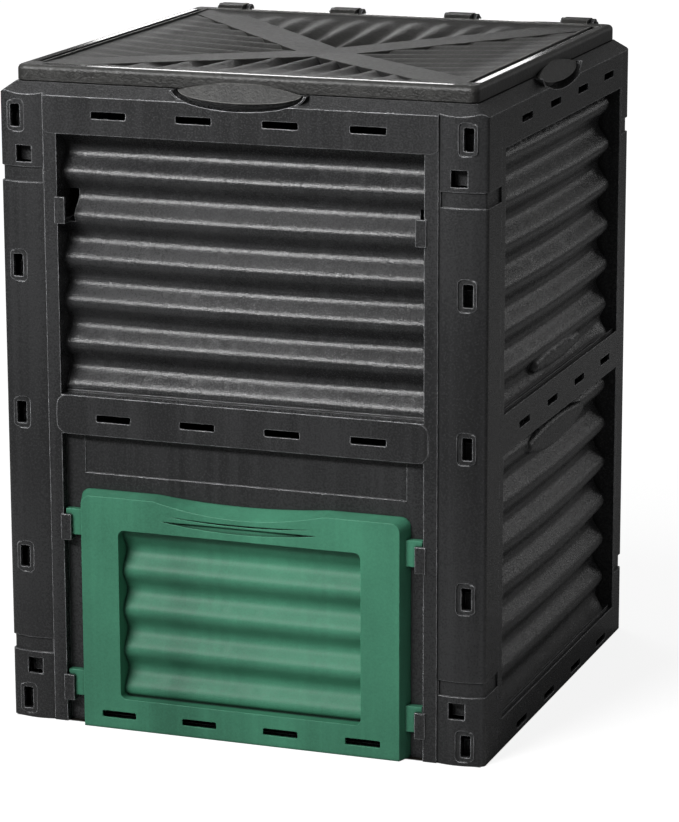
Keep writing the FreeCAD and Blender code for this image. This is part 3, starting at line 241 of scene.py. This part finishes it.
def on_bead(g):
    """One on the smooth flat of the bead round the lid, between the braces' ends, else nought."""
    lid_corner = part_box("lid")[1]
    half = lid_corner[0] - LIP_REACH
    across, along, height = g.from_middle()
    reach = g.math("MAXIMUM", across, along)
    outside = g.math("GREATER_THAN", reach, half - BEAD_WIDTH)
    inside = g.math("LESS_THAN", reach, half - BEAD_ROUND)
    between = g.math("LESS_THAN", g.math("MINIMUM", across, along), BEAD_HALF_LENGTH)
    top = g.math("GREATER_THAN", height, lid_corner[2] - BEAD_DEPTH)
    return g.math("MULTIPLY", g.math("MULTIPLY", outside, inside), g.math("MULTIPLY", between, top))


wall_plastic = plastic("wall_plastic", BLACK, rough=(0.22, 0.32), grain=1.2, edge_highlight_tone=24)
lid_plastic = plastic("lid_plastic", LID_BLACK, rough=(0.40, 0.54), grain=1.8, grain_scale=220,
                      edge_highlight_tone=9, valleys=LID_VALLEY_SHADE_REACH, gloss_patch=on_bead)
door_plastic = plastic("door_plastic", GREEN, rough=(0.44, 0.54), grain=0.4, edge_highlight_tone=1.8, specular=0.3)
pin_plastic = plastic("pin_plastic", BLACK, rough=(0.25, 0.35), grain=0.4, edge_round=0.0005)

FINISH = {"lid": lid_plastic, "hatch_door": door_plastic}
for name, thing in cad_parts.items():
    finish = FINISH.get(name, pin_plastic if name.startswith("hinge_pin") else wall_plastic)
    thing.data.materials.clear()
    thing.data.materials.append(finish)

# Floor: painted shade, a dark patch that ends just within the bin's sides, and a glow that grows towards
# the horizon
FLOOR_HALF = 8.0
FLOOR_DROP = 0.0005
INSIDE_SHADE_INSETS = (0.006, 0.003)
# Painted shade: the dark colour of the floor inside the bin
INSIDE_SHADE = (0.02, 0.018, 0.015, 1)
FLOOR_FOR_CAMERA = (0.4, 0.4, 0.4, 1)
FLOOR_FOR_LIGHT = (0.45, 0.45, 0.45, 1)
GLOW_ENDS, GLOW = (0.6, 2.5), (0.86, 1.0)

# Surround: its strength as light on the object, and as seen by the camera
WHITE = (1, 1, 1, 1)
AMBIENT, BACKDROP = 0.13, 1.0

# Soft lights: places and sizes in metres, power in watts, spread in degrees
LIGHTS = {
    "key": dict(place=(-1.15, -3.0, 2.35), aim=(-0.1, -0.3, 0.85), size=(1.8, 0.5), power=13.5, spread=52),
    "over": dict(place=(-0.8, -0.9, 3.0), aim=(0, -0.3, 0.8), size=(0.9, 0.5), power=7),
    "top": dict(place=(-1.6, 1.8, 2.5), aim=(0, 0, 0.8), size=(1.2, 0.6), power=10),
    "back": dict(place=(-1.2, 3.2, 1.29), aim=(0, 0, 0.8), size=(0.96, 0.2), power=3.2),
    "side": dict(place=(3.2, 1.2, 1.8), aim=(0.3, 0, 0.6), size=(0.5, 1.4), power=1.5),
    "rear_strip": dict(place=(1.9, 3.4, 1.5), aim=(0.3, 0, 0.5), size=(0.7, 1.1), power=3.5),
}

# Camera at the photograph's viewpoint, with angles in degrees
YAW, PITCH, ROLL = 19.896, 13.630, -0.152
FOCAL_PIXELS, IMAGE_HEIGHT = 3592.4, 822
SENSOR_HEIGHT = 36
CAMERA_PLACE = (1.5167, -4.1463, 1.4113)


# Studio: a white floor, a white surround for the camera alone, soft lights and the camera
def add_object(name, data):
    thing = bpy.data.objects.new(name, data)
    bpy.context.scene.collection.objects.link(thing)
    return thing


def floor_material():
    """Painted shade dark inside the bin, and round it white for the camera and a mid grey for everything
    else.
    """
    g = Graph("studio_floor")
    g.tree.nodes.remove(g.shader)
    across, along, _ = g.from_middle()
    reach = g.math("MAXIMUM", across, along)
    outside = g.remap(reach, [cad_box[1][0] - inset for inset in INSIDE_SHADE_INSETS])

    def diffuse(colour):
        node = g.add("ShaderNodeBsdfDiffuse")
        g.link(g.blend(outside, INSIDE_SHADE, colour), node.inputs["Color"])
        return node.outputs[0]

    glow = g.add("ShaderNodeEmission")
    g.link(g.math("MULTIPLY", outside, g.remap(reach, GLOW_ENDS, GLOW)), glow.inputs["Strength"])
    glowing = g.add("ShaderNodeAddShader")
    g.link(diffuse(FLOOR_FOR_CAMERA), glowing.inputs[0])
    g.link(glow.outputs[0], glowing.inputs[1])
    ray = g.add("ShaderNodeLightPath")
    mix = g.add("ShaderNodeMixShader")
    g.link(ray.outputs["Is Camera Ray"], mix.inputs["Fac"])
    g.link(diffuse(FLOOR_FOR_LIGHT), mix.inputs[1])
    g.link(glowing.outputs[0], mix.inputs[2])
    g.link(mix.outputs[0], g.tree.nodes["Material Output"].inputs["Surface"])
    return g.material


def floor():
    mesh = bpy.data.meshes.new("studio_floor")
    corners = [(x * FLOOR_HALF, y * FLOOR_HALF, 0) for x, y in ((-1, -1), (1, -1), (1, 1), (-1, 1))]
    mesh.from_pydata(corners, [], [(0, 1, 2, 3)])
    mesh.materials.append(floor_material())
    thing = add_object("studio_floor", mesh)
    thing.location.z = -FLOOR_DROP


def surround():
    world = bpy.data.worlds.new("studio")
    bpy.context.scene.world = world
    world.use_nodes = True
    tree = world.node_tree
    background = tree.nodes["Background"]
    background.inputs["Color"].default_value = WHITE
    ray = tree.nodes.new("ShaderNodeLightPath")
    strength = tree.nodes.new("ShaderNodeMapRange")
    tree.links.new(ray.outputs["Is Camera Ray"], strength.inputs["Value"])
    strength.inputs["To Min"].default_value = AMBIENT
    strength.inputs["To Max"].default_value = BACKDROP
    tree.links.new(strength.outputs["Result"], background.inputs["Strength"])


def softbox(name, place, aim, size, power, spread=180):
    light = bpy.data.lights.new(name, "AREA")
    light.shape = "RECTANGLE"
    light.size, light.size_y = size
    light.energy = power
    light.spread = math.radians(spread)
    thing = add_object(name, light)
    thing.location = place
    thing.rotation_euler = (Vector(aim) - Vector(place)).to_track_quat("-Z", "Y").to_euler()


def camera():
    yaw, pitch, roll = [math.radians(angle) for angle in (YAW, PITCH, ROLL)]
    ahead = Vector((-math.sin(yaw), math.cos(yaw), 0))
    right = Vector((math.cos(yaw), math.sin(yaw), 0))
    up = Vector((0, 0, 1))
    view = ahead * math.cos(pitch) - up * math.sin(pitch)
    top = up * math.cos(pitch) + ahead * math.sin(pitch)
    across = right * math.cos(roll) + top * math.sin(roll)
    rise = top * math.cos(roll) - right * math.sin(roll)
    data = bpy.data.cameras.new("photo_camera")
    data.sensor_fit = "VERTICAL"
    data.sensor_height = SENSOR_HEIGHT
    data.lens = FOCAL_PIXELS / IMAGE_HEIGHT * SENSOR_HEIGHT
    thing = add_object("photo_camera", data)
    axes = Matrix((across, rise, -view)).transposed()
    thing.matrix_world = Matrix.Translation(CAMERA_PLACE) @ axes.to_4x4()
    bpy.context.scene.camera = thing


floor()
surround()
for name, settings in LIGHTS.items():
    softbox(name, **settings)
camera()
bpy.context.scene.view_settings.view_transform = "Standard"
